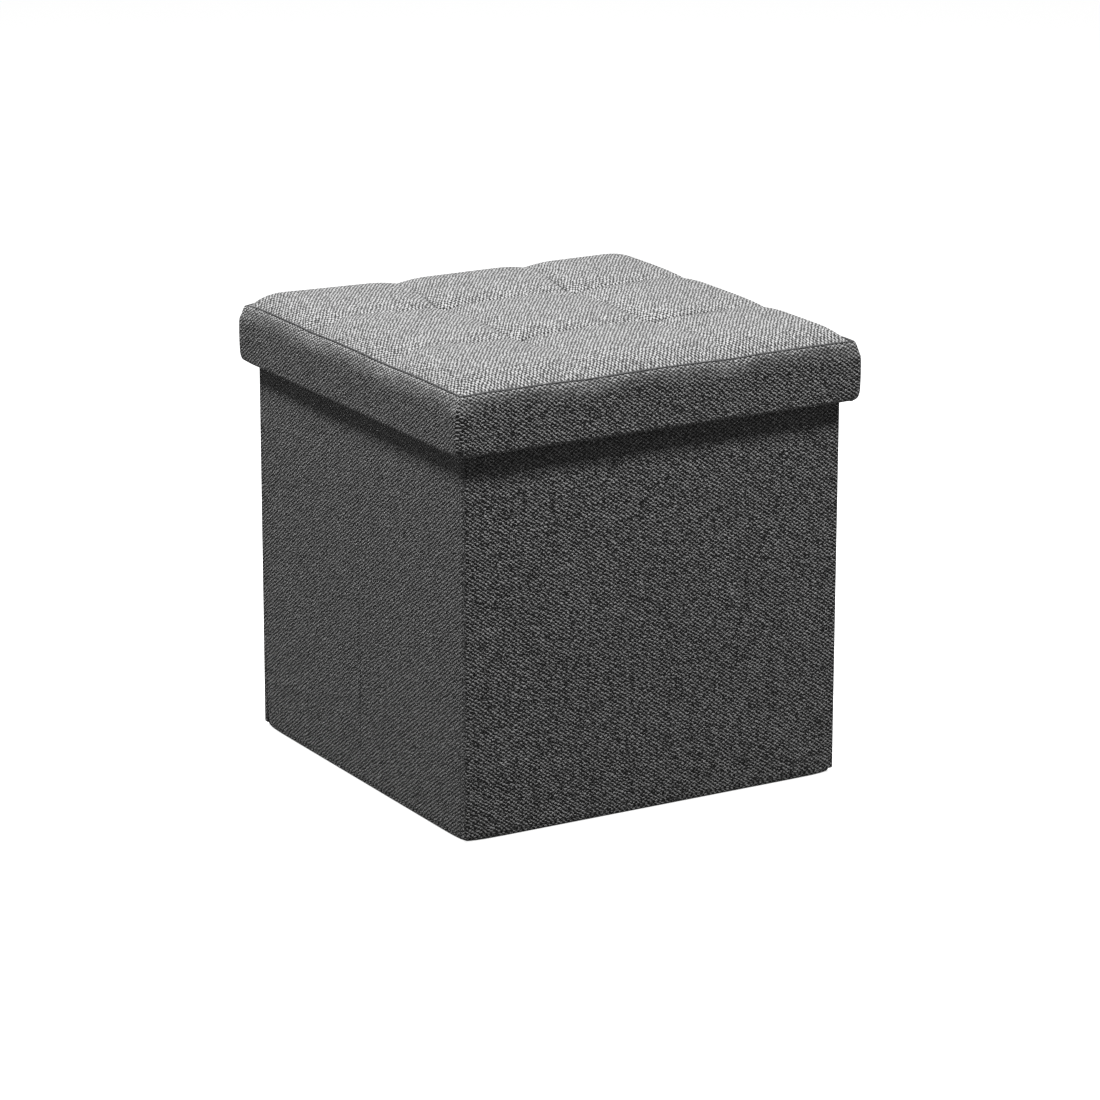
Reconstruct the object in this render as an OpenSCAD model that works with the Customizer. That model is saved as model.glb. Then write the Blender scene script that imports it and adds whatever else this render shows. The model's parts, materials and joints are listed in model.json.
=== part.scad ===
// Square storage ottoman: a folding box under a padded lift-off lid.
// Millimetres, +Z up. The origin is the centre of the footprint on the floor and the front wall faces -Y.
// The side walls are made in halves. They fold inwards about upright seams, so the back wall comes forward.

/* [Box] */
// Outer width of the box, across the front wall
box_w = 356; // [340:1:364]
// Outer depth of the box, from front to back
box_d = 354; // [340:1:362]
// Height of the walls' top edge above the floor
wall_top = 360; // [250:1:450]
// Height of the walls' bottom edge above the floor, where the base ends
wall_bottom = 4.1; // [4.1:0.1:8]
// Thickness of the board in each wall
board_t = 5.2; // [3:0.1:6]
// Thickness of the outer fabric
fabric_t = 1; // [0.6:0.1:1.4]
// Thickness of the lining on the inside of each wall
lining_t = 0.8; // [0.4:0.1:1]

/* [Fold seams] */
// Radius of the sewn seam that each fold turns about
seam_r = 0.7; // [0.4:0.1:0.7]
// Distance from a fold line to the end of a folding panel
seam_gap = 1; // [1:0.1:2]
// Distance from a corner fold line to the front or back wall's inner face
corner_standoff = 0.8; // [0.8:0.1:1.5]

/* [Base] */
// Thickness of the fabric under the box
base_cover_t = 0.8; // [0.5:0.1:1]
// Height of the hem around the base
base_hem_h = 3.8; // [3.4:0.1:3.8]
// Thickness of the loose board on the floor of the box
base_board_t = 2.2; // [1.5:0.1:2.2]
// Thickness of the lining glued on the base board
base_lining_t = 0.4; // [0.2:0.1:0.4]
// Gap around the base board
base_board_gap = 1; // [0.5:0.1:3]
// Width of the ribbon that lifts the base board
ribbon_w = 20; // [10:1:30]
// Length of the ribbon lying on the base board
ribbon_l = 90; // [50:1:120]
// Thickness of the ribbon
ribbon_t = 0.3; // [0.2:0.1:0.3]

/* [Lid] */
// Outer width and depth of the lid
lid_w = 380; // [380:1:400]
// Height of the lid's lower edge above the floor
band_bottom = 326.4; // [200:0.1:330]
// Height of the band above its own lower edge, up to the seam
band_h = 47.2; // [45:0.1:60]
// Height of the cushion above the seam
crown_h = 12.6; // [8:0.1:20]
// Corner radius of the lid, seen from above
lid_corner_r = 7; // [5:0.5:7]
// Gap between the walls' top edge and the lid's lining
lid_gap = 0.4; // [0.3:0.1:1]
// Thickness of the board under the cushion
lid_board_t = 5; // [4:0.1:5]
// Thickness of the wooden rim strips
rim_t = 6; // [4:0.1:6.5]
// Thickness of the padding around the rim
band_padding_t = 2.2; // [1.5:0.1:2.5]
// Thickness of the lining inside the lid
lid_lining_t = 0.6; // [0.4:0.1:0.6]
// Radius of the sewn edge between the band and the top
edge_seam_r = 1; // [0.6:0.1:1.2]

/* [Tufts] */
// Number of tufts along each side of the square grid
tuft_rows = 2; // [2:1:3]
// Distance between neighbouring tufts
tuft_pitch = 126; // [80:1:140]
// Depth of a tuft below the top of the cushion
tuft_depth = 13.2; // [6:0.1:13.2]
// Radius of a tuft's hollow at the top of the cushion
tuft_top_r = 20; // [10:1:30]
// Radius of a tuft's hollow at its bottom
tuft_bottom_r = 3; // [2:0.5:5]
// Radius of the tie that pulls a tuft down
tie_r = 1; // [0.5:0.1:1.2]
// Radius of the washer that holds a tie under the lid board
washer_r = 9; // [6:0.5:12]
// Thickness of that washer
washer_t = 1.4; // [0.8:0.1:1.5]

/* [Hidden] */
$fn = 48;
cut = 1;

fabric_grey = [0.42, 0.42, 0.43];
lining_black = [0.11, 0.11, 0.12];
board_brown = [0.62, 0.48, 0.34];
foam_white = [0.9, 0.89, 0.85];
thread_grey = [0.25, 0.25, 0.26];
washer_grey = [0.7, 0.7, 0.7];

// Walls
wall_t = fabric_t + board_t + lining_t;
wall_h = wall_top - wall_bottom;
half_w = box_w / 2;
half_d = box_d / 2;
inner_x = half_w - wall_t;
inner_y = half_d - wall_t;
corner_fold_y = inner_y - corner_standoff;
side_panel_l = corner_fold_y - 2 * seam_gap;

// Base
base_half_x = inner_x - base_board_gap;
base_half_y = inner_y - base_board_gap;
base_board_z = base_cover_t + 0.1;
base_lining_z = base_board_z + base_board_t;
ribbon_z = base_lining_z + base_lining_t;

// Lid
lid_half = lid_w / 2;
seam_z = band_bottom + band_h;
lid_top = seam_z + crown_h;
padding_half = lid_half - fabric_t;
rim_half = padding_half - band_padding_t;
rim_inner = rim_half - rim_t;
lid_lining_z = wall_top + lid_gap;
lid_board_z = lid_lining_z + lid_lining_t;
foam_z = lid_board_z + lid_board_t;
rim_z = band_bottom + fabric_t;
cushion_half = lid_half - 2 * edge_seam_r - 0.1;
foam_clearance = 0.2;

// Tufts
tuft_z = lid_top - tuft_depth;
tie_clearance = 0.5;
washer_clearance = 0.5;
washer_pocket_h = washer_t + 0.2;
washer_z = lid_board_z + 0.1;
tuft_span = (tuft_rows - 1) * tuft_pitch / 2;

// A slab whose four upright edges are rounded, centred on the Z axis
module rounded_slab(half, corner_r, z_low, z_high) {
    straight = half - corner_r;
    height = z_high - z_low;
    translate([-half, -straight, z_low]) cube([2 * half, 2 * straight, height]);
    translate([-straight, -half, z_low]) cube([2 * straight, 2 * half, height]);
    for (x = [-straight, straight])
        for (y = [-straight, straight])
            translate([x, y, z_low]) cylinder(h = height, r = corner_r);
}

// A box centred on the Z axis in X and Y
module centred_box(half_x, half_y, z_low, z_high) {
    translate([-half_x, -half_y, z_low]) cube([2 * half_x, 2 * half_y, z_high - z_low]);
}

// A wall panel lies along +X with its outer face on y = 0 and its inside towards +Y.
// The board is wrapped by the cover on its outside and its four edges, and the lining closes the inside.
module panel_board(length) {
    color(board_brown)
        translate([fabric_t, fabric_t, wall_bottom + fabric_t])
            cube([length - 2 * fabric_t, board_t, wall_h - 2 * fabric_t]);
}

module panel_cover(length) {
    color(fabric_grey)
        difference() {
            translate([0, 0, wall_bottom]) cube([length, fabric_t + board_t, wall_h]);
            translate([fabric_t, fabric_t, wall_bottom + fabric_t])
                cube([length - 2 * fabric_t, board_t + cut, wall_h - 2 * fabric_t]);
        }
}

module panel_lining(length) {
    color(lining_black)
        translate([0, fabric_t + board_t, wall_bottom]) cube([length, lining_t, wall_h]);
}

// Where each wall stands
module at_front() {
    translate([-half_w, -half_d, 0]) children();
}

module at_back() {
    translate([half_w, half_d, 0]) rotate([0, 0, 180]) children();
}

module at_left_front() {
    translate([-half_w, -seam_gap, 0]) rotate([0, 0, -90]) children();
}

module at_left_rear() {
    translate([-half_w, seam_gap + side_panel_l, 0]) rotate([0, 0, -90]) children();
}

module at_right_front() {
    translate([half_w, -seam_gap - side_panel_l, 0]) rotate([0, 0, 90]) children();
}

module at_right_rear() {
    translate([half_w, seam_gap, 0]) rotate([0, 0, 90]) children();
}

module front_board() { at_front() panel_board(box_w); }
module front_cover() { at_front() panel_cover(box_w); }
module front_lining() { at_front() panel_lining(box_w); }

module left_front_board() { at_left_front() panel_board(side_panel_l); }
module left_front_cover() { at_left_front() panel_cover(side_panel_l); }
module left_front_lining() { at_left_front() panel_lining(side_panel_l); }

module left_rear_board() { at_left_rear() panel_board(side_panel_l); }
module left_rear_cover() { at_left_rear() panel_cover(side_panel_l); }
module left_rear_lining() { at_left_rear() panel_lining(side_panel_l); }

module back_board() { at_back() panel_board(box_w); }
module back_cover() { at_back() panel_cover(box_w); }
module back_lining() { at_back() panel_lining(box_w); }

module right_front_board() { at_right_front() panel_board(side_panel_l); }
module right_front_cover() { at_right_front() panel_cover(side_panel_l); }
module right_front_lining() { at_right_front() panel_lining(side_panel_l); }

module right_rear_board() { at_right_rear() panel_board(side_panel_l); }
module right_rear_cover() { at_right_rear() panel_cover(side_panel_l); }
module right_rear_lining() { at_right_rear() panel_lining(side_panel_l); }

// An upright sewn seam, whose axis is the fold's own axis
module upright_seam(x, y) {
    color(thread_grey)
        translate([x, y, wall_bottom]) cylinder(h = wall_h, r = seam_r);
}

module left_fold_seam() { upright_seam(-half_w, 0); }
module right_fold_seam() { upright_seam(half_w, 0); }
module front_left_corner_seam() { upright_seam(-inner_x, -corner_fold_y); }
module front_right_corner_seam() { upright_seam(inner_x, -corner_fold_y); }
module back_left_corner_seam() { upright_seam(-inner_x, corner_fold_y); }
module back_right_corner_seam() { upright_seam(inner_x, corner_fold_y); }

// The fabric under the box, with a hem as wide as the walls are thick
module base_cover() {
    color(fabric_grey)
        difference() {
            centred_box(half_w, half_d, 0, base_hem_h);
            centred_box(inner_x, inner_y, base_cover_t, base_hem_h + cut);
        }
}

module base_board() {
    color(board_brown)
        centred_box(base_half_x, base_half_y, base_board_z, base_lining_z);
}

module base_lining() {
    color(lining_black)
        centred_box(base_half_x, base_half_y, base_lining_z, ribbon_z);
}

// The ribbon lies flat on the base board, from its front edge towards the middle
module base_ribbon() {
    color(fabric_grey)
        translate([-ribbon_w / 2, -base_half_y, ribbon_z]) cube([ribbon_w, ribbon_l, ribbon_t]);
}

// Puts its children at every tuft
module at_tufts() {
    for (i = [0 : tuft_rows - 1])
        for (j = [0 : tuft_rows - 1])
            translate([i * tuft_pitch - tuft_span, j * tuft_pitch - tuft_span, 0]) children();
}

module lid_board() {
    color(board_brown)
        difference() {
            centred_box(rim_half, rim_half, lid_board_z, foam_z);
            at_tufts() {
                translate([0, 0, lid_board_z - cut])
                    cylinder(h = lid_board_t + 2 * cut, r = tie_r + tie_clearance);
                translate([0, 0, lid_board_z - cut])
                    cylinder(h = washer_pocket_h + cut, r = washer_r + washer_clearance);
            }
        }
}

// Two long rim strips run the full width, and two short ones stand between them
module rim_strip(length) {
    color(board_brown)
        translate([-length / 2, rim_inner, rim_z]) cube([length, rim_t, lid_board_z - rim_z]);
}

module lid_rim_front() { rotate([0, 0, 180]) rim_strip(2 * rim_half); }
module lid_rim_back() { rim_strip(2 * rim_half); }
module lid_rim_left() { rotate([0, 0, 90]) rim_strip(2 * rim_inner); }
module lid_rim_right() { rotate([0, 0, -90]) rim_strip(2 * rim_inner); }

module lid_band_padding() {
    color(foam_white)
        difference() {
            rounded_slab(padding_half, lid_corner_r - fabric_t, rim_z, seam_z);
            centred_box(rim_half, rim_half, rim_z - cut, seam_z + cut);
        }
}

// The band's fabric goes down the outside and turns in under the padding and the rim
module lid_band_cover() {
    color(fabric_grey)
        difference() {
            rounded_slab(lid_half, lid_corner_r, band_bottom, seam_z);
            rounded_slab(padding_half, lid_corner_r - fabric_t, rim_z, seam_z + cut);
            centred_box(rim_inner - lid_lining_t, rim_inner - lid_lining_t, band_bottom - cut, seam_z);
        }
}

// The sewn edge runs round the lid on top of the band
module lid_edge_seam() {
    reach = lid_half - edge_seam_r;
    corner_r = lid_corner_r - edge_seam_r;
    straight = reach - corner_r;
    color(thread_grey)
        translate([0, 0, seam_z + edge_seam_r])
            for (turn = [0 : 90 : 270])
                rotate([0, 0, turn]) {
                    translate([reach, -straight, 0])
                        rotate([-90, 0, 0]) cylinder(h = 2 * straight, r = edge_seam_r);
                    translate([straight, straight, 0])
                        rotate_extrude(angle = 90)
                            translate([corner_r, 0]) circle(r = edge_seam_r);
                }
}

// The cushion's outer shape, drawn in by inset on every side but the bottom
module cushion(inset, z_low) {
    well_slope = (tuft_top_r - tuft_bottom_r) / tuft_depth;
    well_h = tuft_depth + inset + cut;
    difference() {
        rounded_slab(cushion_half - inset, lid_corner_r - edge_seam_r - inset, z_low, lid_top - inset);
        at_tufts()
            translate([0, 0, tuft_z - inset])
                cylinder(h = well_h, r1 = tuft_bottom_r + inset,
                    r2 = tuft_bottom_r + inset + well_slope * well_h);
        at_tufts()
            translate([0, 0, z_low - cut])
                cylinder(h = lid_top - z_low, r = tie_r + tie_clearance);
    }
}

module lid_foam() {
    color(foam_white) cushion(fabric_t + foam_clearance, foam_z);
}

module lid_top_cover() {
    color(fabric_grey)
        difference() {
            cushion(0, seam_z);
            cushion(fabric_t, seam_z - cut);
        }
}

module lid_tuft_ties() {
    color(thread_grey)
        at_tufts()
            translate([0, 0, washer_z + washer_t])
                cylinder(h = tuft_z - washer_z - washer_t + tie_clearance, r = tie_r);
}

module lid_tuft_washers() {
    color(washer_grey)
        at_tufts()
            translate([0, 0, washer_z]) cylinder(h = washer_t, r = washer_r);
}

// The lining covers the lid board from below and the rim strips from the inside
module lid_lining() {
    color(lining_black)
        difference() {
            centred_box(rim_inner, rim_inner, rim_z, lid_board_z);
            centred_box(rim_inner - lid_lining_t, rim_inner - lid_lining_t, rim_z - cut, lid_lining_z);
        }
}

front_board();
front_cover();
front_lining();
left_front_board();
left_front_cover();
left_front_lining();
left_rear_board();
left_rear_cover();
left_rear_lining();
back_board();
back_cover();
back_lining();
right_front_board();
right_front_cover();
right_front_lining();
right_rear_board();
right_rear_cover();
right_rear_lining();
left_fold_seam();
right_fold_seam();
front_left_corner_seam();
front_right_corner_seam();
back_left_corner_seam();
back_right_corner_seam();
base_cover();
base_board();
base_lining();
base_ribbon();
lid_board();
lid_rim_front();
lid_rim_back();
lid_rim_left();
lid_rim_right();
lid_band_padding();
lid_band_cover();
lid_edge_seam();
lid_foam();
lid_top_cover();
lid_tuft_ties();
lid_tuft_washers();
lid_lining();
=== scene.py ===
"""A square grey storage ottoman with a tufted lid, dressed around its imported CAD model."""

import json
import math

import bmesh
import bpy
import numpy as np
from mathutils import Matrix, Vector

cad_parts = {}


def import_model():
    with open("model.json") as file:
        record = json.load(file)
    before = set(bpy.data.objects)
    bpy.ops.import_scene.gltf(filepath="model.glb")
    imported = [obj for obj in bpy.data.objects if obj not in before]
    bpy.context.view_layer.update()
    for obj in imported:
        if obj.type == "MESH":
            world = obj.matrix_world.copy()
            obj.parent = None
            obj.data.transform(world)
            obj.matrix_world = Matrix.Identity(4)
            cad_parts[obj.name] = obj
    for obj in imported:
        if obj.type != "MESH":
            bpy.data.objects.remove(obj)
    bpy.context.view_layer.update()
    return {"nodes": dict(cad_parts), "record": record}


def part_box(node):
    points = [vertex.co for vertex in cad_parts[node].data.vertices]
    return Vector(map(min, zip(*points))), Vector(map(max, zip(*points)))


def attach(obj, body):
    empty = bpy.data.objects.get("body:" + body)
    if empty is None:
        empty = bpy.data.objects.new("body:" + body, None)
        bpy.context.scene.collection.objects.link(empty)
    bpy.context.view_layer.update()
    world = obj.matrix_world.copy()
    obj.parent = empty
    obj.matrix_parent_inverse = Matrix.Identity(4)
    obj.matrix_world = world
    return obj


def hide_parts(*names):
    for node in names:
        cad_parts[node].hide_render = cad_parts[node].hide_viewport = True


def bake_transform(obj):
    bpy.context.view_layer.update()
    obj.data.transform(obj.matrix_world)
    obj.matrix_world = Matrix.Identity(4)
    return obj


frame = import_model()
scene = bpy.context.scene
MM = 0.001

# ---------------------------------------------------------------- sizes taken from the frame


def span(node):
    """A CAD node's lowest and highest corners, in millimetres."""
    low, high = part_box(node)
    return np.array(low) / MM, np.array(high) / MM


front_low, front_high = span("front_cover")
side_low, side_high = span("left_front_cover")
band_low, band_high = span("lid_band_cover")
_, top_high = span("lid_top_cover")
_, rim_high = span("lid_rim_front")

HALF_W = front_high[0]
HALF_D = -front_low[1]
WALL_BOTTOM = front_low[2]
WALL_TOP = front_high[2]
WALL_T = span("front_lining")[1][1] + HALF_D
SIDE_START = -side_high[1]
SIDE_END = -side_low[1]
LID_HALF = band_high[0]
BAND_BOTTOM = band_low[2]
SEAM_Z = band_high[2]
LID_TOP = top_high[2]
RIM_INNER = -rim_high[1]
TUFT = span("lid_tuft_ties")[1][0] - 1.0
TUFT_Z = LID_TOP - 13.2
FOAM_Z = span("lid_foam")[0][2]

# ---------------------------------------------------------------- materials


class Graph:
    """A short way to write a material's nodes."""

    def __init__(self, name):
        self.material = bpy.data.materials.new(name)
        self.material.use_nodes = True
        self.tree = self.material.node_tree
        self.tree.nodes.clear()

    def node(self, kind, **settings):
        made = self.tree.nodes.new("ShaderNode" + kind)
        for key, value in settings.items():
            setattr(made, key, value)
        return made

    def link(self, value, socket):
        """Sets a socket to a number or colour, or links another socket to it."""
        if isinstance(value, bpy.types.NodeSocket):
            self.tree.links.new(value, socket)
        else:
            socket.default_value = value

    def math(self, operation, a, b=0.0, c=0.0):
        made = self.node("Math", operation=operation)
        for i, value in enumerate((a, b, c)):
            self.link(value, made.inputs[i])
        return made.outputs[0]

    def clamp(self, value):
        made = self.node("Clamp")
        self.link(value, made.inputs[0])
        return made.outputs[0]

    def mix(self, factor, a, b):
        made = self.node("Mix", data_type="RGBA")
        self.link(factor, made.inputs["Factor"])
        self.link(a, made.inputs[6])
        self.link(b, made.inputs[7])
        return made.outputs[2]

    def combine(self, x, y, z=0.0):
        made = self.node("CombineXYZ")
        for i, value in enumerate((x, y, z)):
            self.link(value, made.inputs[i])
        return made.outputs[0]

    def separate(self, vector):
        made = self.node("SeparateXYZ")
        self.link(vector, made.inputs[0])
        return made.outputs

    def noise(self, vector, scale, detail=2.0, rough=0.5):
        made = self.node("TexNoise")
        self.link(vector, made.inputs["Vector"])
        self.link(scale, made.inputs["Scale"])
        self.link(detail, made.inputs["Detail"])
        self.link(rough, made.inputs["Roughness"])
        return made.outputs

    def ramp(self, value, stops):
        made = self.node("ValToRGB")
        self.link(value, made.inputs[0])
        elements = made.color_ramp.elements
        while len(elements) < len(stops):
            elements.new(0.5)
        for element, (place, tone) in zip(elements, stops):
            element.position = place
            element.color = (*tone, 1.0)
        return made.outputs[0]

    def bump(self, height, distance, strength=1.0, normal=None):
        made = self.node("Bump")
        self.link(height, made.inputs["Height"])
        self.link(distance, made.inputs["Distance"])
        self.link(strength, made.inputs["Strength"])
        if normal is not None:
            self.link(normal, made.inputs["Normal"])
        return made.outputs[0]

    def surface(self, color, roughness, normal=None, **fixed):
        shader = self.node("BsdfPrincipled")
        self.link(color, shader.inputs["Base Color"])
        self.link(roughness, shader.inputs["Roughness"])
        if normal is not None:
            self.link(normal, shader.inputs["Normal"])
        for key, value in fixed.items():
            shader.inputs[key.replace("_", " ")].default_value = value
        self.tree.links.new(shader.outputs[0], self.node("OutputMaterial").inputs[0])
        return self.material


# The cloth is a plain weave of thick yarns: these are the distances between yarns, in millimetres.
WARP_PITCH = 2.33
WEFT_PITCH = 1.65


def cloth_material(name, tones, painted_light_top_tones, relief, mix, hairs, slubs):
    """Coarse mixed-grey linen-look cloth. It reads the UV map Weave, which is in millimetres.
    mix is how far the crossings differ in tone, hairs is the fibres' contrast, and slubs the streaks'.
    Cloth that faces up takes a lighter copy of the tones, painted light from the lamp above, and shows less
    of its weave. The sides take the darker tones and show more of it."""
    g = Graph(name)
    shape = g.node("NewGeometry").outputs
    facing_x, _, up = g.separate(shape["Normal"])
    # up is 1 on cloth that faces even a little upward and 0 on upright cloth. It carries painted light: the
    # lighter top tones on the top, and a painted highlight along the band's rolled top edge.
    up = g.clamp(g.math("MULTIPLY_ADD", up, 4.0, -0.03))
    depth = g.math("MULTIPLY_ADD", g.math("ABSOLUTE", facing_x), 0.6, 1.0)
    uv = g.node("UVMap", uv_map="Weave").outputs[0]
    u, v, _ = g.separate(uv)
    # Yarns wander a little, so the ribs wave
    drift = g.separate(g.noise(uv, 0.085, 2.0)[1])
    jitter = g.separate(g.noise(uv, 0.40, 1.0)[1])
    u2 = g.math("MULTIPLY_ADD", g.math("SUBTRACT", drift[0], 0.5), 3.4, u)
    v2 = g.math("MULTIPLY_ADD", g.math("SUBTRACT", drift[1], 0.5), 2.6, v)
    u2 = g.math("MULTIPLY_ADD", g.math("SUBTRACT", jitter[0], 0.5), 2.9, u2)
    v2 = g.math("MULTIPLY_ADD", g.math("SUBTRACT", jitter[1], 0.5), 2.4, v2)
    a = g.math("MULTIPLY", u2, math.pi / WARP_PITCH)
    b = g.math("MULTIPLY", v2, math.pi / WEFT_PITCH)
    # The two diagonals of the weave. The first is the stronger, which gives the slight twill
    rising = g.math("COSINE", g.math("ADD", a, b))
    falling = g.math("COSINE", g.math("SUBTRACT", a, b))
    weave = g.math("MULTIPLY_ADD", rising, 0.35, g.math("MULTIPLY", falling, 0.29))
    # Each crossing has its own tone and its own height, as mixed yarns do
    column, row = (g.math("ROUND", g.math("DIVIDE", place, math.pi)) for place in (a, b))
    mixed = g.node("TexWhiteNoise", noise_dimensions="2D")
    g.link(g.combine(column, row), mixed.inputs["Vector"])
    uneven = g.math("MULTIPLY", g.math("SUBTRACT", mixed.outputs[0], 0.5), mix)
    own = g.math("MULTIPLY", g.math("ADD", mixed.outputs[0], 0.5), depth)
    knots = g.math("MULTIPLY_ADD", weave, own, 0.5)
    # Slubs: long soft streaks along the warp, and fainter ones along the weft
    streak = g.noise(g.combine(g.math("MULTIPLY", u, 0.5), g.math("MULTIPLY", v, 0.022)), 1.0, 3.0, 0.6)[0]
    cross = g.noise(g.combine(g.math("MULTIPLY", u, 0.03), g.math("MULTIPLY", v, 0.6)), 1.0, 2.0, 0.6)[0]
    uneven = g.math("MULTIPLY_ADD", g.math("SUBTRACT", streak, 0.5), slubs, uneven)
    uneven = g.math("MULTIPLY_ADD", g.math("SUBTRACT", cross, 0.5), 0.4 * slubs, uneven)
    fibre = g.noise(g.combine(g.math("MULTIPLY", u, 0.45), g.math("MULTIPLY", v, 1.0)), 1.0, 1.0, 0.5)[0]
    uneven = g.math("MULTIPLY_ADD", g.math("SUBTRACT", fibre, 0.5), hairs, uneven)
    tone = g.math("MULTIPLY_ADD", uneven, g.math("MULTIPLY_ADD", up, -0.5, 1.0), knots)
    # Painted light: cloth that faces up takes the lighter top tones, and upright cloth takes the darker
    # ones.
    color = g.mix(up, g.ramp(tone, tones), g.ramp(tone, painted_light_top_tones))
    # Light hardly reaches the bottom of a sharp fold
    fold = g.clamp(g.math("MULTIPLY_ADD", shape["Pointiness"], 20.0, -8.9))
    color = g.mix(fold, (0.012, 0.012, 0.012, 1.0), color)
    height = g.math("ADD", knots, g.math("MULTIPLY", mixed.outputs[0], 0.2))
    height = g.math("MULTIPLY_ADD", fibre, 0.3, height)
    normal = g.bump(height, relief * MM, g.math("MULTIPLY_ADD", up, -0.68, 1.0))
    return g.surface(color, 0.9, normal, Specular_IOR_Level=0.18, Sheen_Weight=0.3, Sheen_Roughness=0.4)


def lining_material():
    """Thin black spun-bonded lining with its pattern of tiny welded points."""
    g = Graph("Spunbond_lining")
    place = g.node("TexCoord").outputs["Object"]
    points = g.node("TexVoronoi", feature="F1")
    g.link(place, points.inputs["Vector"])
    points.inputs["Scale"].default_value = 1 / (1.6 * MM)
    points.inputs["Randomness"].default_value = 0.25
    weld = g.math("SMOOTH_MIN", points.outputs["Distance"], 0.45, 0.1)
    cloud = g.noise(place, 55.0, 4.0, 0.6)[0]
    color = g.ramp(g.math("MULTIPLY_ADD", weld, 0.5, g.math("MULTIPLY", cloud, 0.5)),
                   [(0.25, (0.016, 0.016, 0.017)), (0.7, (0.06, 0.06, 0.062))])
    return g.surface(color, 0.8, g.bump(weld, 0.15 * MM), Specular_IOR_Level=0.25, Sheen_Weight=0.15)


def board_material():
    """Raw fibreboard: fine felted fibres."""
    g = Graph("Fibreboard")
    place = g.node("TexCoord").outputs["Object"]
    fibre = g.noise(place, 900.0, 5.0, 0.7)[0]
    cloud = g.noise(place, 40.0, 3.0, 0.5)[0]
    color = g.ramp(g.math("MULTIPLY_ADD", fibre, 0.6, g.math("MULTIPLY", cloud, 0.4)),
                   [(0.3, (0.24, 0.15, 0.08)), (0.7, (0.46, 0.32, 0.19))])
    return g.surface(color, 0.75, g.bump(fibre, 0.1 * MM))


def thread_material():
    """Twisted dark sewing thread."""
    g = Graph("Dark_thread")
    place = g.separate(g.node("TexCoord").outputs["Object"])
    diagonal = g.math("ADD", g.math("ADD", place[0], place[1]), place[2])
    twist = g.math("SINE", g.math("MULTIPLY", diagonal, 2 * math.pi / (0.9 * MM)))
    color = g.ramp(g.math("MULTIPLY_ADD", twist, 0.5, 0.5),
                   [(0.0, (0.012, 0.012, 0.013)), (1.0, (0.05, 0.05, 0.052))])
    return g.surface(color, 0.7, g.bump(twist, 0.15 * MM), Sheen_Weight=0.2)


def ribbon_material():
    """Woven grosgrain ribbon with cross ribs."""
    g = Graph("Ribbon_grosgrain")
    place = g.separate(g.node("TexCoord").outputs["Object"])
    ribs = g.math("SINE", g.math("MULTIPLY", place[1], 2 * math.pi / (1.1 * MM)))
    color = g.ramp(g.math("MULTIPLY_ADD", ribs, 0.5, 0.5),
                   [(0.0, (0.03, 0.03, 0.032)), (1.0, (0.12, 0.12, 0.125))])
    return g.surface(color, 0.6, g.bump(ribs, 0.2 * MM), Sheen_Weight=0.3)


def washer_material():
    """Moulded grey nylon with a faint mottle."""
    g = Graph("Nylon_washer")
    place = g.node("TexCoord").outputs["Object"]
    mottle = g.noise(place, 300.0, 3.0)[0]
    color = g.ramp(mottle, [(0.3, (0.42, 0.42, 0.42)), (0.7, (0.62, 0.62, 0.61))])
    return g.surface(color, 0.45, g.bump(mottle, 0.05 * MM))


# TONES are for upright cloth. The copy for cloth that faces up is lighter, as painted light from the lamp
# above.
TONES = [(0.34, (0.002, 0.002, 0.002)), (0.46, (0.018, 0.018, 0.018)), (0.55, (0.082, 0.082, 0.082)),
         (0.72, (0.58, 0.58, 0.58))]
PAINTED_LIGHT_TOP_TONES = [(0.16, (0.012, 0.012, 0.012)), (0.40, (0.066, 0.066, 0.066)), (0.56, (0.132, 0.132, 0.132)),
             (0.86, (0.32, 0.32, 0.32))]
CLOTH = cloth_material("Grey_linen_weave", TONES, PAINTED_LIGHT_TOP_TONES, 1.5, 0.30, 1.3, 0.40)
LINING = lining_material()
BOARD = board_material()
THREAD = thread_material()
RIBBON = ribbon_material()
WASHER = washer_material()

# ---------------------------------------------------------------- meshes


def piece(name, points, faces, uvs=None, material=None, thick=0.0):
    """A smooth mesh object from points in millimetres. uvs has one pair for each corner of each face."""
    mesh = bpy.data.meshes.new(name)
    mesh.from_pydata([Vector(p) * MM for p in points], [], faces)
    if uvs is not None:
        layer = mesh.uv_layers.new(name="Weave")
        layer.data.foreach_set("uv", np.asarray(uvs, np.float32).ravel())
    mesh.materials.append(material or CLOTH)
    bm = bmesh.new()
    bm.from_mesh(mesh)
    bmesh.ops.remove_doubles(bm, verts=bm.verts, dist=1e-6)
    bm.to_mesh(mesh)
    bm.free()
    mesh.polygons.foreach_set("use_smooth", [True] * len(mesh.polygons))
    made = bpy.data.objects.new(name, mesh)
    scene.collection.objects.link(made)
    if thick:
        shell = made.modifiers.new("Thickness", "SOLIDIFY")
        shell.thickness = thick * MM
        shell.offset = -1
        mesh = bpy.data.meshes.new_from_object(made.evaluated_get(bpy.context.evaluated_depsgraph_get()))
        made.modifiers.clear()
        made.data = mesh
    mesh.set_sharp_from_angle(angle=math.radians(50))
    return made


# Each face of the box has its own stretch of the Weave map, this far apart
FACE_STEP = 1000.0


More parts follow.
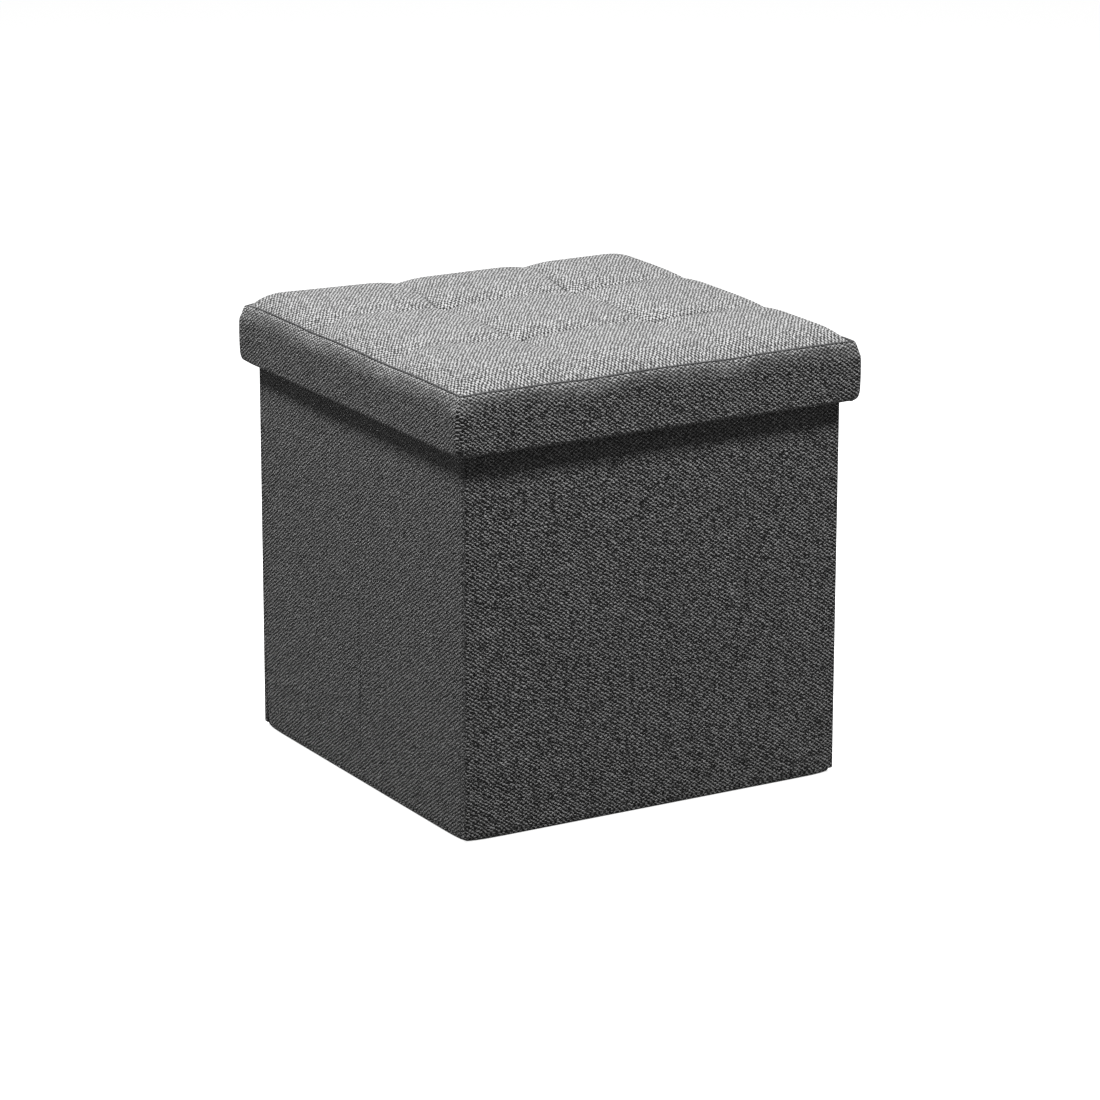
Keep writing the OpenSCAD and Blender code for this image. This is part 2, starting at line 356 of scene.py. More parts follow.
def sweep(name, path, profile, relief=None, shape=None, closed=False, cap=False, upward=1.0, shift=0.0,
          **options):
    """Cloth swept along a path that runs anticlockwise, seen from above.
    path has (x, y, inward x, inward y) for each place, and profile has (distance inwards, height).
    relief(x, y, z) is a further distance inwards, and shape(point) moves a finished point.
    cap closes the start of the profile with a flat sheet. The weave runs level round each side."""
    rows, columns = len(path), len(profile)
    down = [shift]
    for a, b in zip(profile, profile[1:]):
        down.append(down[-1] + upward * math.dist(a, b))
    points, faces, uvs = [], [], []
    for x, y, nx, ny in path:
        for inward, z in profile:
            if relief:
                inward += relief(x, y, z)
            point = (x + nx * inward, y + ny * inward, z)
            points.append(shape(point) if shape else point)
    for k in range(rows if closed else rows - 1):
        k2 = (k + 1) % rows
        nx, ny = path[k][2] + path[k2][2], path[k][3] + path[k2][3]
        if abs(nx) > abs(ny):
            sign, along, face = math.copysign(1, nx), 1, 2 + math.copysign(1, nx)
        else:
            sign, along, face = math.copysign(1, ny), 0, 3 - 3 * math.copysign(1, ny)
        u0, u1 = (sign * path[i][along] + FACE_STEP * face for i in (k, k2))
        for j in range(columns - 1):
            quad = [k * columns + j, k2 * columns + j, k2 * columns + j + 1, k * columns + j + 1]
            flat = [(u0, down[j]), (u1, down[j]), (u1, down[j + 1]), (u0, down[j + 1])]
            # faces look outwards whether the profile goes up or down
            faces.append(quad if upward > 0 else quad[::-1])
            uvs.extend(flat if upward > 0 else flat[::-1])
    if cap:
        faces.append([k * columns for k in reversed(range(rows))])
        uvs.extend([points[k][:2] for k in faces[-1]])
    return piece(name, points, faces, uvs, **options)


def bend(x, y, first, radius, start=0, end=90, count=9):
    """Places round a corner at (x, y), anticlockwise. first is the outward angle of the face before it."""
    a, b = math.radians(first), math.radians(first + 90)
    cx = x - radius * (math.cos(a) + math.cos(b))
    cy = y - radius * (math.sin(a) + math.sin(b))
    out = []
    for turn in np.radians(np.linspace(first + start, first + end, count)):
        c, s = math.cos(turn), math.sin(turn)
        out.append((cx + radius * c, cy + radius * s, -c, -s))
    return out


def fill(path, step):
    """Adds places so that none are further apart than step."""
    out = [path[0]]
    for a, b in zip(path, path[1:]):
        count = max(1, math.ceil(math.dist(a[:2], b[:2]) / step))
        for k in range(1, count + 1):
            out.append(tuple(p + (q - p) * k / count for p, q in zip(a, b)))
    return out


def fill_ends(path):
    """Adds places near a path's two ends, for what shows beside the corner seams."""
    for _ in ("last", "first"):
        path = path[::-1]
        for i, (a, b) in enumerate(zip(path, path[1:])):
            if math.dist(a[:2], b[:2]) > 1.5:
                path[i + 1:i + 1] = [tuple(p + (q - p) * k for p, q in zip(a, b)) for k in (0.25, 0.5, 0.75)]
                break
    return path


def soft_noise(along, z, phase):
    """A gentle, repeatable unevenness between about -1 and 1."""
    return (math.sin(0.031 * along + 0.9 * phase) * math.cos(0.024 * z + 1.7 * phase)
            + 0.5 * math.sin(0.067 * along - 0.041 * z + 2.3 * phase)) / 1.5


# ---------------------------------------------------------------- box

CORNER_R = 3.2
TOP_R = 2.6
SLEEVE_IN = 0.45
HEM = 14.0
PATCH_Y = 150.0
SEAM_AT = CORNER_R * (1 - math.sqrt(0.5))
WALL_H = WALL_TOP - WALL_BOTTOM


def facing(wall, body, place, length):
    """The cloth wrapped round one wall's board: its outside, top, ends and foot, with a hem inside its top.
    The wall lies along x from 0 to length before it is placed, with its outside on y = 0."""
    depth, r_end = WALL_T + 0.35, 1.6
    near_end = np.array([0, 0.4, 0.9, 1.6])
    xs = np.concatenate([near_end, np.linspace(12, length - 12, 14), length - near_end[::-1]])
    ys = np.array([SLEEVE_IN, 0.75, 1.35, 2.05, 3.05, 4.6, 6.3, 6.7, 7.05, depth])
    top = WALL_H - 0.05
    near_top = top - np.array([HEM, 8, 4, 2.6, 1.8, 1.1, 0.5, 0.15, 0])
    zs = np.concatenate([[0.05, 0.3, 0.9], np.linspace(12, top - HEM - 20, 14), near_top])
    index, points, faces, uvs = {}, [], [], []

    def vertex(x, y, z):
        key = (round(x, 4), round(y, 4), round(z, 4))
        if key in index:
            return index[key]
        index[key] = len(points)
        p = [x, y, z]
        # the upright edges are rounded, and then the top
        cx, cy = min(max(x, r_end), length - r_end), max(y, SLEEVE_IN + r_end)
        far = math.hypot(x - cx, y - cy)
        if far > r_end:
            p[0], p[1] = cx + (x - cx) * r_end / far, cy + (y - cy) * r_end / far
        r = TOP_R if y < depth / 2 else 1.0
        cy = min(max(p[1], SLEEVE_IN + r), depth - r)
        cz = min(z, top - r)
        far = math.hypot(p[1] - cy, z - cz)
        if far > r:
            p[1], p[2] = cy + (p[1] - cy) * r / far, cz + (z - cz) * r / far
        points.append(tuple(place @ Vector((p[0], p[1], p[2] + WALL_BOTTOM))))
        return index[key]

    def grid(a_values, b_values, corner, flat):
        for a0, a1 in zip(a_values, a_values[1:]):
            for b0, b1 in zip(b_values, b_values[1:]):
                around = [(a0, b0), (a1, b0), (a1, b1), (a0, b1)]
                faces.append([vertex(*corner(a, b)) for a, b in around])
                uvs.extend([flat(a, b) for a, b in around])

    out_y, in_y, low_z = ys[0], ys[-1], zs[0]
    hem_zs = [z for z in zs if z >= top - HEM - 1e-6]
    end_ys = ys[:-2]
    grid(xs, zs, lambda x, z: (x, out_y, z), lambda x, z: (x, z))
    grid(xs, ys, lambda x, y: (x, y, top), lambda x, y: (x, top + y))
    grid(xs[::-1], hem_zs, lambda x, z: (x, in_y, z), lambda x, z: (x, 2 * top + WALL_T - z))
    grid(xs[::-1], end_ys, lambda x, y: (x, y, low_z), lambda x, y: (x, -y))
    grid(end_ys[::-1], zs, lambda y, z: (0, y, z), lambda y, z: (-y, z))
    grid(end_ys, zs, lambda y, z: (length, y, z), lambda y, z: (length + y, z))
    cloth = piece(wall + "_facing", points, faces, uvs, thick=0.4)
    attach(cloth, body)
    return cloth


def at(x, y, degrees):
    return Matrix.Translation((x, y, 0)) @ Matrix.Rotation(math.radians(degrees), 4, "Z")


W, D = HALF_W, HALF_D
SIDE_L = SIDE_END - SIDE_START
FACINGS = [
    ("front", "front_wall", at(-W, -D, 0), 2 * W),
    ("back", "back_wall", at(W, D, 180), 2 * W),
    ("left_front", "left_front_half", at(-W, -SIDE_START, -90), SIDE_L),
    ("left_rear", "left_rear_half", at(-W, SIDE_END, -90), SIDE_L),
    ("right_front", "right_front_half", at(W, -SIDE_END, 90), SIDE_L),
    ("right_rear", "right_rear_half", at(W, SIDE_START, 90), SIDE_L),
]
facings = {row[0]: facing(*row) for row in FACINGS}
for wall, cloth in facings.items():
    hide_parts(wall + "_cover")


def wall_relief(x, y, z):
    """How far the sleeve lies inside the box's flat faces: corner seams, middle creases and unevenness."""
    from_seam = math.hypot(W - SEAM_AT - abs(x), D - SEAM_AT - abs(y))
    # the two cloths roll proud of the seam that joins them
    out = 0.2 * math.exp(-(from_seam / 0.6) ** 2) - 0.5 * math.exp(-((from_seam - 2.2) / 1.3) ** 2)
    side = W - abs(x) < 0.01
    along = y if side else x
    if side:
        out += 0.25 * math.exp(-(y / 1.5) ** 2)
    phase = (1 if side else 0) + (2 if x + y > 0 else 0)
    fade = max(0.0, min(1.0, (D - 6 - abs(along)) / 25, (z - 20) / 25))
    return out + 0.2 * fade * (1 - soft_noise(along, z, phase))


FOOT_IN = 3.4
FOOT_UP = 0.7


def soften_foot(p):
    """At the floor the box's upright corners are rounder, because no board fills the cloth there."""
    x, y, z = p
    reach = max(W - abs(x), 0) + max(D - abs(y), 0)
    near = math.exp(-reach / 9.0) * math.exp(-max(z, 0) / 12.0)
    inwards = FOOT_IN * near
    lift = FOOT_UP * near * math.exp(-z / 4.0)
    return (x - math.copysign(inwards, x), y - math.copysign(inwards, y), z + lift)


def sleeve_shape(p):
    """The foot's rounding, and a pinch at the top of each side's middle crease, where folded halves meet."""
    x, y, z = soften_foot(p)
    if z > WALL_TOP - TOP_R and abs(y) < 4:
        allowed = 1.5 + 0.9 * max(0.0, abs(y) - 1.4)
        x = math.copysign(W - min(W - abs(x), allowed), x)
    return (x, y, z)


def sleeve_profile():
    """The sleeve's outline: from the wall's foot, up its outside and over its top edge."""
    out = [(0.9, WALL_BOTTOM), (0.35, WALL_BOTTOM + 0.05), (0.0, WALL_BOTTOM + 0.5)]
    out += [(0.0, WALL_BOTTOM + z) for z in (2, 4, 7, 11, 16, 22)]
    out += [(0.0, z) for z in np.linspace(WALL_BOTTOM + 30, WALL_TOP - 12, 36)]
    out += [(TOP_R * (1 - math.cos(a)), WALL_TOP - TOP_R * (1 - math.sin(a)))
            for a in np.linspace(0, math.pi / 2, 8)]
    return out + [(TOP_R + 0.7, WALL_TOP - 0.1), (TOP_R + 1.1, WALL_TOP - 0.4)]


SLEEVE = sleeve_profile()


def before(x, y, first):
    return bend(x, y, first, CORNER_R, 0, 45, 9)


def after(x, y, first):
    return bend(x, y, first, CORNER_R, 45, 90, 9)


def side_places(sx, ys):
    return [(sx * W, y, -sx, 0) for y in ys]


CREASE = [6, 3, 2, 1.3, 0.6, 0, -0.6, -1.3, -2, -3, -6]
FL, FR, RR, RL = (-W, -D, 180), (W, -D, -90), (W, D, 0), (-W, D, 90)
BOARD_EDGE = D - WALL_T
FOLD_REACH = 15.0
SLEEVES = [
    # name, its places, its body or the two bodies it lies across, and for the latter a first and last y
    ("front_sleeve", after(*FL) + before(*FR), ["front_wall"], None),
    ("right_front_corner", after(*FR) + side_places(1, [-PATCH_Y]),
     ["front_wall", "right_front_half"], (-BOARD_EDGE, -BOARD_EDGE + FOLD_REACH)),
    ("right_sleeve", side_places(1, [-PATCH_Y] + CREASE[::-1] + [PATCH_Y]),
     ["right_front_half", "right_rear_half"], (-3, 3)),
    ("right_rear_corner", side_places(1, [PATCH_Y, BOARD_EDGE]), ["right_rear_half"], None),
    ("back_sleeve", side_places(1, [BOARD_EDGE]) + before(*RR) + after(*RR) + before(*RL),
     ["back_wall"], None),
    ("left_rear_corner", after(*RL) + side_places(-1, [PATCH_Y]),
     ["left_rear_half", "back_wall"], (BOARD_EDGE - FOLD_REACH, BOARD_EDGE)),
    ("left_sleeve", side_places(-1, [PATCH_Y] + CREASE + [-PATCH_Y]),
     ["left_front_half", "left_rear_half"], (-3, 3)),
    ("left_front_corner", side_places(-1, [-PATCH_Y]) + before(*FL),
     ["front_wall", "left_front_half"], (-BOARD_EDGE, -BOARD_EDGE + FOLD_REACH)),
]


for name, path, bodies, reach in SLEEVES:
    length = sum(math.dist(a[:2], b[:2]) for a, b in zip(path, path[1:]))
    path = fill_ends(fill(path, 8 if length > 50 else 2))
    cloth = sweep(name, path, SLEEVE, relief=wall_relief, shape=sleeve_shape, thick=0.35)
    if reach:
        x = path[0][0] * MM
        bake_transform(cloth)
    else:
        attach(cloth, bodies[0])


def stitches(name, lines, length, gap, radius):
    """A row of short round-ended threads along each line, given as its two ends."""
    points, faces = [], []
    for a, b in lines:
        a, b = Vector(a), Vector(b)
        way = (b - a).normalized()
        side = way.orthogonal().normalized()
        up = way.cross(side)
        count = max(1, int((b - a).length / (length + gap)))
        for k in range(count):
            base = a + way * (k * (length + gap) + gap / 2)
            first = len(points)
            for along, size in ((0, 0.35), (0.15, 0.9), (0.5, 1.0), (0.85, 0.9), (1, 0.35)):
                for s in range(6):
                    w = math.pi * s / 3
                    around = math.cos(w) * side + math.sin(w) * up
                    points.append(base + way * along * length + radius * size * around)
            for r in range(4):
                for s in range(6):
                    s2 = (s + 1) % 6
                    row = first + 6 * r
                    faces.append([row + s, row + s2, row + 6 + s2, row + 6 + s])
            faces.append([first + s for s in reversed(range(6))])
            faces.append([first + 24 + s for s in range(6)])
    return piece(name, points, faces, material=THREAD)


for sx, word in ((-1, "left"), (1, "right")):
    x = sx * (W - 0.35)
    made = stitches(word + "_crease_stitches", [((x, 0, 14), (x, 0, WALL_TOP - 6))], 3.0, 1.5, 0.3)
    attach(made, word + "_rear_half")
    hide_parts(word + "_fold_seam")

seam_x, seam_y = W - SEAM_AT + 0.05, D - SEAM_AT + 0.05
CORNERS = ((-1, -1, "front_wall"), (1, -1, "front_wall"), (-1, 1, "back_wall"), (1, 1, "back_wall"))
for sx, sy, body in CORNERS:
    x, y = sx * seam_x, sy * seam_y
    name = ("left_" if sx < 0 else "right_") + body.replace("wall", "corner_stitches")
    made = stitches(name, [((x, y, 9), (x, y, WALL_TOP - 3))], 3.2, 0.7, 0.42)
    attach(made, body)

# ---------------------------------------------------------------- base


def base_cloth():
    """The cloth under the box: flat, with a rounded edge that turns up to meet the walls."""
    r, top = 2.7, WALL_BOTTOM - 0.03
    profile = [(r * (1 - math.cos(a)), r * (1 - math.sin(a))) for a in np.linspace(math.pi / 2, 0, 8)]
    under_walls = [(0.0, top), (0.8, top), (3.0, top - 0.2), (WALL_T + 1.0, top - 0.4)]
    profile = [(WALL_T + 2, 0.0)] + profile + under_walls
    path = []
    for corner in (FL, FR, RR, RL):
        path += before(*corner) + after(*corner)[1:]
    path = fill(path + path[:1], 8)[:-1]
    return sweep("base_cloth", path, profile, shape=soften_foot, closed=True, cap=True, thick=0.5)


base = base_cloth()
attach(base, "front_wall")
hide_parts("base_cover")

# ---------------------------------------------------------------- lid

SEAM_IN = 5.6
ROLL_IN = 4.6
ROLL_H = 17.5
PILLOW_R = 28.0
FOLD_POWER = 1.65
CROWN = LID_TOP - SEAM_Z + 0.8
CORNER_LID = 2.5
LID_CORNER_R = 5.0
EDGE_PULL = 1.4
BAND_LOW = BAND_BOTTOM - 2.8
# How deep a tuft line's dip is, how much less it is at the edge, and how deep the fold is beside a tuft
LINE_DIP, EDGE_LESS, TUFT_FOLD = 5.2, 2.4, 5.4


def tuft_line(distance):
    """1 on a tuft line and falling away from it, given the distance from the lid's middle."""
    return np.exp(-((np.abs(distance) - TUFT) / 24.0) ** 2)


def crease(across, along, half, drift, cut, reach):
    """How far one set of tuft lines draws the cushion down: a soft dip, and a sharp fold near each tuft.
    Beyond the tufts on its high side, a line wanders sideways by drift. cut is the depth of a narrow groove
    in the fold, centred reach beyond each tuft."""
    wander = drift * np.clip((along - TUFT) / (half - TUFT), 0, 1)
    d = np.abs(np.abs(across - wander) - TUFT)
    t = np.clip(d / PILLOW_R, 0, 1)
    fold = 1 - (1 - (1 - t) ** FOLD_POWER) ** (1 / FOLD_POWER)
    dip = np.exp(-((d / 13.0) ** 2))
    near_tuft = np.exp(-((np.abs(np.abs(along) - TUFT) / 34.0) ** 1.5))
    outside = np.clip((np.abs(along) - TUFT) / (half - TUFT), 0, 1)
    soft = (LINE_DIP - EDGE_LESS * outside) * (0.4 * dip + 0.6 * fold)
    beside = np.exp(-(((np.abs(along - reach) - TUFT) / 32.0) ** 2))
    return soft + TUFT_FOLD * near_tuft * fold + cut * beside * np.exp(-((d / 2.0) ** 2))


def cushion_height(x, y, half):
    e = half - np.maximum(np.abs(x), np.abs(y))
    # How soon the padding rises from the edge: soonest at the rear left, and roundest at the rear right
    plump = np.clip(-1.4 * x / half - 0.4, 0, 1)
    rear_left = plump * np.clip(1.4 * y / half - 0.4, 0, 1)
    sx = np.where(x < 0, 40.0 - 15.0 * rear_left, 36.0)
    sy = np.where(y < 0, 44.0, 50.0 - 20.0 * plump)
    px = (1 - np.clip((half - np.abs(x)) / sx, 0, 1)) ** np.where(x < 0, 2.2, 2.8)
    py = (1 - np.clip((half - np.abs(y)) / sy, 0, 1)) ** 2.2
    power = 2.7 - 1.7 * np.clip((x + y) / half - 0.8, 0, 1)
    rise = 1 - np.minimum(1, px ** power + py ** power + 1e-12) ** (1 / power)
    along = np.where(np.abs(x) > np.abs(y), y, x)
    z = SEAM_Z - 0.2 - 1.2 * tuft_line(along) * np.exp(-e / 15.0) - 1.8 * np.exp(-e / 0.7)
    z = z + (CROWN + 0.2) * rise
    a, b = crease(x, y, half, 12.0, 0.8, 0.0), crease(y, x, half, -15.0, 2.8, 24.0)
    down = (a ** 4 + b ** 4 + 1e-9) ** 0.25
    corner = np.exp(-((half - np.abs(x)) + (half - np.abs(y))) / 9.0)
    return z - down * (1 - np.exp(-e / 8.0)) - np.where(y < 0, 0.5, 0.9) * corner


def grid_lines(half, count):
    """Places of the cushion's grid lines, which are closest at its edge and its tuft lines."""
    fine = np.linspace(-half, half, 6001)
    at_tufts = 3.4 * np.exp(-(((np.abs(fine) - TUFT) / 3.0) ** 2))
    at_edge = 3.0 * np.exp(-(half - np.abs(fine)) / 4.0)
    density = 1 + at_tufts + at_edge
    total = np.concatenate([[0], np.cumsum((density[1:] + density[:-1]) / 2)])
    return np.interp(np.linspace(0, total[-1], count + 1), total, fine)


def lid_cushion():
    half = LID_HALF - SEAM_IN
    count = 172
    grid = grid_lines(half, count)
    x, y = np.meshgrid(grid, grid)
    z = cushion_height(x, y, half)
    e = half - np.maximum(np.abs(x), np.abs(y))
    # the corners are round, seen from above, and the tuft lines pull the edge in
    qx = np.clip(x, CORNER_LID - half, half - CORNER_LID)
    qy = np.clip(y, CORNER_LID - half, half - CORNER_LID)
    far = np.hypot(x - qx, y - qy)
    near = np.maximum(np.abs(x - qx), np.abs(y - qy))
    shrink = np.where(far > 0, near / np.maximum(far, 1e-9), 1.0)
    px, py = qx + (x - qx) * shrink, qy + (y - qy) * shrink
    pull = EDGE_PULL * np.exp(-e / 18.0)
    sideways = np.abs(x) > np.abs(y)
    px = px - np.where(sideways, np.sign(x) * pull * tuft_line(y), 0)
    py = py - np.where(sideways, 0, np.sign(y) * pull * tuft_line(x))
    top = np.stack([px, py, z], -1).reshape(-1, 3)
    top = simulate(top, count + 1, x.ravel(), y.ravel(), half)
    flat = np.stack([-y, 0.955 * x], -1).reshape(-1, 2)
    n = count + 1
    faces, uvs = [], []
    for j in range(count):
        for i in range(count):
            quad = [j * n + i, j * n + i + 1, (j + 1) * n + i + 1, (j + 1) * n + i]
            faces.append(quad)
            uvs.extend([tuple(flat[k]) for k in quad])
    rim = list(range(n)) + [j * n + n - 1 for j in range(1, n)]
    rim += [(n - 1) * n + i for i in range(n - 2, -1, -1)] + [j * n for j in range(n - 2, 0, -1)]
    points = [tuple(p) for p in top]
    low = len(points)
    points += [(points[k][0] * 0.99, points[k][1] * 0.99, FOAM_Z + 0.3) for k in rim]
    for a in range(len(rim)):
        b = (a + 1) % len(rim)
        faces.append([rim[b], rim[a], low + a, low + b])
        uvs.extend([(b, 0), (a, 0), (a, 8), (b, 8)])
    faces.append([low + a for a in range(len(rim))][::-1])
    uvs.extend([points[low + a][:2] for a in range(len(rim))][::-1])
    return piece("lid_cushion", points, faces, uvs)


SIM_FRAMES = 20
SIM_CAP = 2.4


def simulate(top, n, x, y, half):
    """Blows the cushion's top out a little as cloth that is held at its edge and its tufts.
    A coarser copy is simulated, and its capped movement is spread back over the full mesh."""
    pick = np.arange(0, n, 2)
    m = len(pick)
    index = (pick[:, None] * n + pick[None, :]).ravel()
    mesh = bpy.data.meshes.new("cushion_cloth")
    quads = []
    for j in range(m - 1):
        for i in range(m - 1):
            quads.append([j * m + i, j * m + i + 1, (j + 1) * m + i + 1, (j + 1) * m + i])
    mesh.from_pydata([Vector(p) * MM for p in top[index]], [], quads)
    cloth = bpy.data.objects.new("cushion_cloth", mesh)
    scene.collection.objects.link(cloth)
    cx, cy = x[index], y[index]
    held = (np.maximum(np.abs(cx), np.abs(cy)) > half - 1.2) | \
        (np.hypot(np.abs(cx) - TUFT, np.abs(cy) - TUFT) < 3.5)
    pins = cloth.vertex_groups.new(name="Held")
    pins.add([int(i) for i in np.nonzero(held)[0]], 1.0, "REPLACE")
    modifier = cloth.modifiers.new("Cloth", "CLOTH")
    settings = modifier.settings
    settings.quality = 6
    settings.mass = 0.2
    settings.tension_stiffness = settings.compression_stiffness = 40
    settings.shear_stiffness = 8
    settings.bending_stiffness = 1.5
    settings.use_pressure = True
    settings.uniform_pressure_force = 1.5
    settings.vertex_group_mass = "Held"
    settings.effector_weights.gravity = 0.0
    modifier.collision_settings.use_collision = False
    for number in range(1, SIM_FRAMES + 1):
        scene.frame_set(number)
    moved = cloth.evaluated_get(bpy.context.evaluated_depsgraph_get())
    after_sim = np.array([v.co for v in moved.data.vertices]) / MM
    scene.frame_set(1)
    bpy.data.objects.remove(cloth)
    step = after_sim - top[index]
    length = np.linalg.norm(step, axis=1, keepdims=True)
    step = step * np.minimum(1.0, SIM_CAP / np.maximum(length, 1e-9))
    # the sewn edge stays as it was cut
    from_edge = half - np.maximum(np.abs(cx), np.abs(cy))
    step = step * (1 - np.exp(-(from_edge / 14.0) ** 2))[:, None]
    print("cushion simulation: largest move", float(length.max()), "mm, mean", float(length.mean()), "mm")
    # back to the full grid, which has one more line between each two
    step = step.reshape(m, m, 3)
    wide = np.zeros((m, n, 3))
    wide[:, ::2] = step
    wide[:, 1::2] = (step[:, :-1] + step[:, 1:]) / 2
    full = np.zeros((n, n, 3))
    full[::2] = wide
    full[1::2] = (wide[:-1] + wide[1:]) / 2
    return top + full.reshape(-1, 3)


cushion = lid_cushion()
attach(cushion, "lid")
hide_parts("lid_foam", "lid_top_cover")


def lid_places(inset=0.0, step=5.0):
    """Places round the lid's outside."""
    half = LID_HALF - inset
    path = []
    for x, y, first in ((-half, -half, 180), (half, -half, -90), (half, half, 0), (-half, half, 90)):
        path += bend(x, y, first, LID_CORNER_R - inset, count=13)
    return fill(path + path[:1], step)[:-1]


def band_shape(p):
    """The tuft lines draw the band's top edge in and down, and its faces are a little uneven."""
    x, y, z = p
    side = abs(x) > abs(y)
    along = y if side else x
    top = math.exp(-((SEAM_Z - min(z, SEAM_Z)) / 9.0) ** 2)
    pull = EDGE_PULL * float(tuft_line(along)) * top
    face = max(0.0, min(1.0, (LID_HALF - 12 - abs(along)) / 20, (z - BAND_BOTTOM) / 12))
    pull += 0.45 * face * (1 - soft_noise(1.7 * along, 3 * z, (1 if side else 0) + (2 if x + y > 0 else 0)))
    drop = 1.2 * float(tuft_line(along)) * top
    corner = math.exp(-((LID_HALF - abs(x)) + (LID_HALF - abs(y))) / 9.0)
    drop += (1.3 if y < 0 else 3.6) * corner * top
    pull += 0.5 * corner * math.exp(-((z - SEAM_Z + 7) / 3.0) ** 2)
    if side:
        return (x - math.copysign(pull, x), y, z - drop)
    return (x, y - math.copysign(pull, y), z - drop)


def band_relief(x, y, z):
    """The band's corner seams, and the rim's corners that push the cloth out."""
    reach = LID_HALF - LID_CORNER_R * (1 - math.sqrt(0.5))
    far = math.hypot(reach - abs(x), reach - abs(y))
    low = max(0.0, min(1.0, (SEAM_Z - 4 - z) / 8))
    turn = max(0.0, 1 - (z - BAND_LOW) / 9.0) ** 2
    return 0.3 * math.exp(-(far / 1.0) ** 2) + (2.6 * turn - 1.3 * low) * math.exp(-(far / 12.0) ** 2)


def lid_band():
    """The band's cloth: a rolled top, a face that leans in going down, a round lower edge and a turn-in."""
    low_r, lean, start = 4.0, 0.6, 0.2
    roll_end = SEAM_Z - ROLL_H
    profile = [(SEAM_IN + 0.3, SEAM_Z - 2.8), (SEAM_IN - 0.2, SEAM_Z - 2.0), (ROLL_IN + 0.45, SEAM_Z - 1.0)]
    for a in np.linspace(0.1, 1, 13) * math.pi / 2:
        across, upright = math.sin(a) ** 1.15, math.cos(a) ** 1.15
        profile.append((start + (ROLL_IN - start) * (1 - across), SEAM_Z - ROLL_H * (1 - upright)))
    foot = BAND_LOW + low_r
    for k in range(1, 12):
        t = k / 11
        inward = start + lean * t - 0.3 * math.sin(math.pi * t)
        profile.append((inward, roll_end + (foot - roll_end) * t))
    for a in np.linspace(0, 1, 9)[1:] * math.pi / 2:
        profile.append((start + lean + low_r * (1 - math.cos(a)), foot - low_r * math.sin(a)))
    end = LID_HALF - RIM_INNER + 0.45
    profile += [(end - 0.6, BAND_LOW + 0.2), (end, BAND_LOW + 0.9), (end, BAND_BOTTOM + 2.6)]
    return sweep("lid_band_cloth", lid_places(), profile, relief=band_relief, shape=band_shape, closed=True,
                 upward=-1.0, shift=500.0, thick=0.6)


band = lid_band()
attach(band, "lid")
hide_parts("lid_band_cover", "lid_band_padding")


def seam_thread():
    """The sewn edge: a dark cord sunk between the cushion and the band."""
    ring = []
    for x, y, nx, ny in lid_places(ROLL_IN + 0.8, 4.0):
        corner = math.exp(-((LID_HALF - abs(x)) + (LID_HALF - abs(y)) - 2 * ROLL_IN) / 9.0)
        p = band_shape((x, y, SEAM_Z + 0.1 - (1.4 * corner if y > 0 else 0.0)))
        ring.append((Vector(p), Vector((nx, ny, 0))))
    points, faces = [], []
    for p, inward in ring:
        for s in range(6):
            w = math.pi * s / 3
            points.append(p + 0.85 * (math.cos(w) * inward + math.sin(w) * Vector((0, 0, 1))))
    n = len(ring)
    for k in range(n):
        k2 = (k + 1) % n
        for s in range(6):
            s2 = (s + 1) % 6
            faces.append([k * 6 + s, k2 * 6 + s, k2 * 6 + s2, k * 6 + s2])
    return piece("lid_edge_thread", points, faces, material=THREAD)


seam = seam_thread()
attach(seam, "lid")
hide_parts("lid_edge_seam")

cross = []
for cx in (-TUFT, TUFT):
    for cy in (-TUFT, TUFT):
        for sx in (-1, 1):
            cross.append(((cx - 2.6 * sx, cy - 2.6, TUFT_Z + 1.3), (cx + 2.6 * sx, cy + 2.6, TUFT_Z + 1.3)))
tuft_stitches = stitches("tuft_stitches", cross, 6.6, 0.4, 0.5)
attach(tuft_stitches, "lid")
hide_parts("lid_tuft_ties")

# ---------------------------------------------------------------- carried-over CAD nodes

CAD_LOOKS = {"board": BOARD, "lining": LINING, "thread": THREAD, "ribbon": RIBBON, "washer": WASHER}
for row in frame["record"]["subparts"]:
    look = CAD_LOOKS.get(row["material_slot"])
    if look is not None:
        mesh = frame["nodes"][row["node"]].data
        mesh.materials.clear()
        mesh.materials.append(look)

# ---------------------------------------------------------------- stage, light and camera

def stage_sheet(name, half, z, material):
    """A flat square of the set, in metres."""
    mesh = bpy.data.meshes.new(name)
    corners = [(-half, -half, z), (half, -half, z), (half, half, z), (-half, half, z)]
    mesh.from_pydata(corners, [], [(0, 1, 2, 3)])
    mesh.materials.append(material)
    made = bpy.data.objects.new(name, mesh)
    scene.collection.objects.link(made)
    return made


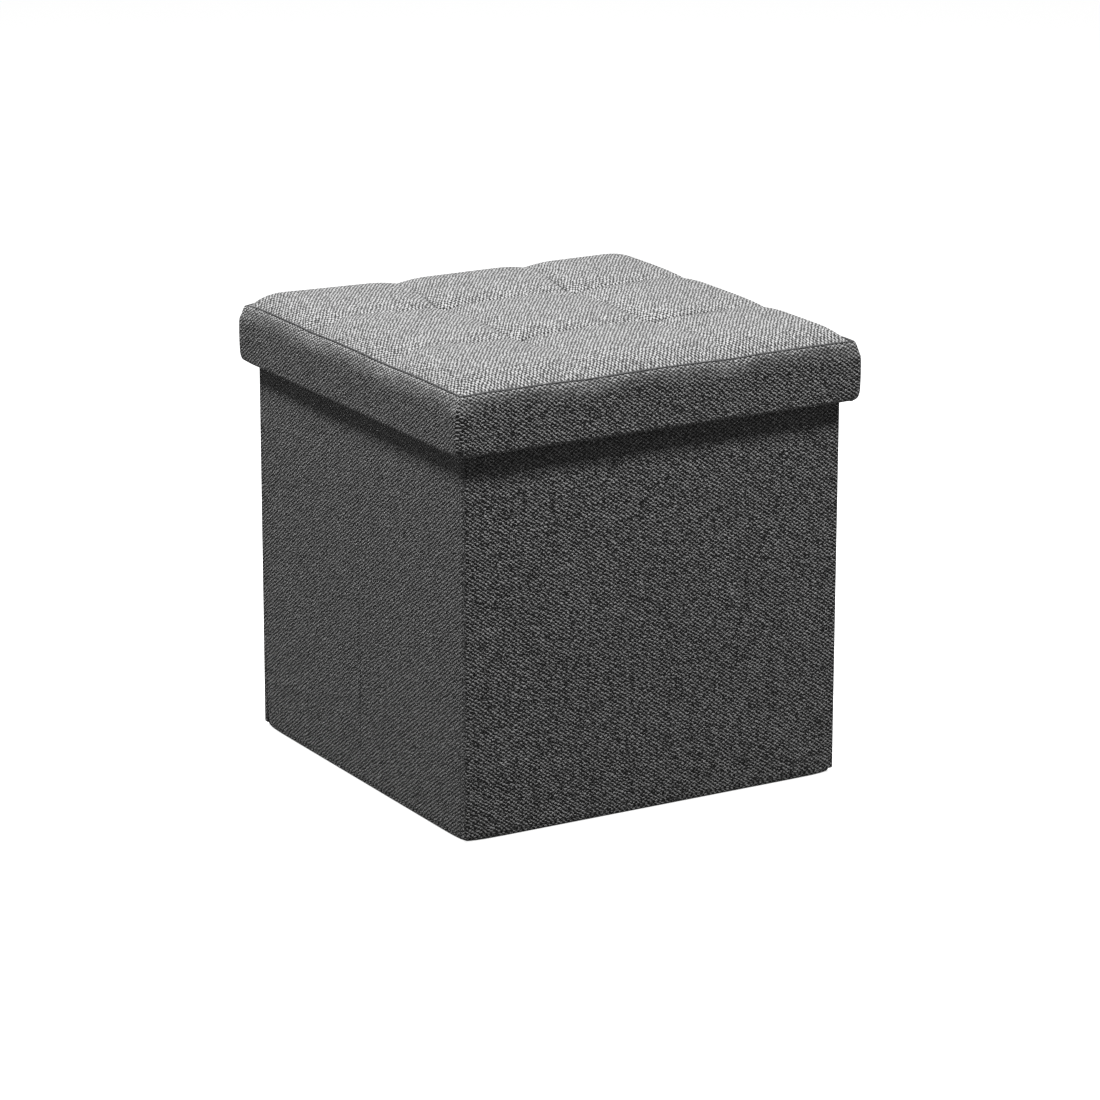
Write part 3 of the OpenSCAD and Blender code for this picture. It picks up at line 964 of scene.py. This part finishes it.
PALE = Graph("Pale_floor").surface((0.5, 0.5, 0.5, 1.0), 0.9, Emission_Color=(1.0, 1.0, 1.0, 1.0),
                                   Emission_Strength=0.9)
floor = stage_sheet("floor", 14.0, -0.0002, PALE)
floor.visible_diffuse = False

# A dark card under the floor keeps the world's light off the box's foot
DARK = Graph("Dark_card").surface((0.01, 0.01, 0.01, 1.0), 1.0)
card = stage_sheet("contact_card", 0.181, -0.0004, DARK)
card.visible_camera = False

world = bpy.data.worlds.new("Studio")
scene.world = world
world.use_nodes = True
world.node_tree.nodes["Background"].inputs[0].default_value = (1.0, 1.0, 1.0, 1.0)
world.node_tree.nodes["Background"].inputs[1].default_value = 0.075


def softbox(name, place, target, size, watts):
    data = bpy.data.lights.new(name, "AREA")
    data.shape = "DISK"
    data.size = size
    data.energy = watts
    made = bpy.data.objects.new(name, data)
    made.location = place
    made.rotation_euler = (Vector(target) - Vector(place)).to_track_quat("-Z", "Y").to_euler()
    made.visible_camera = False
    scene.collection.objects.link(made)


softbox("Overhead", (0.1, 0.15, 1.85), (0.0, 0.0, 0.38), 0.6, 45)
softbox("Left_side", (-1.05, 0.1, 2.25), (0.0, 0.0, 0.3), 0.5, 30.0)
softbox("Front_side", (0.1, -1.05, 2.25), (0.0, 0.0, 0.3), 0.5, 30.5)

AZIMUTH, ELEVATION, ROLL = math.radians(-30.503), math.radians(16.145), math.radians(0.106)
camera_data = bpy.data.cameras.new("Camera")
camera_data.sensor_width = 36.0
camera_data.lens = 150.507
camera = bpy.data.objects.new("Camera", camera_data)
scene.collection.objects.link(camera)
level = math.cos(ELEVATION)
back = Vector((math.sin(AZIMUTH) * level, -math.cos(AZIMUTH) * level, math.sin(ELEVATION)))
roll = Matrix.Rotation(ROLL, 4, "Z").to_quaternion()
camera.rotation_mode = "QUATERNION"
camera.rotation_quaternion = (-back).to_track_quat("-Z", "Y") @ roll
camera.location = (-1.88963, -3.21644, 1.25606)
camera_data.clip_start, camera_data.clip_end = 0.05, 60.0
scene.camera = camera
scene.view_settings.view_transform = "Standard"
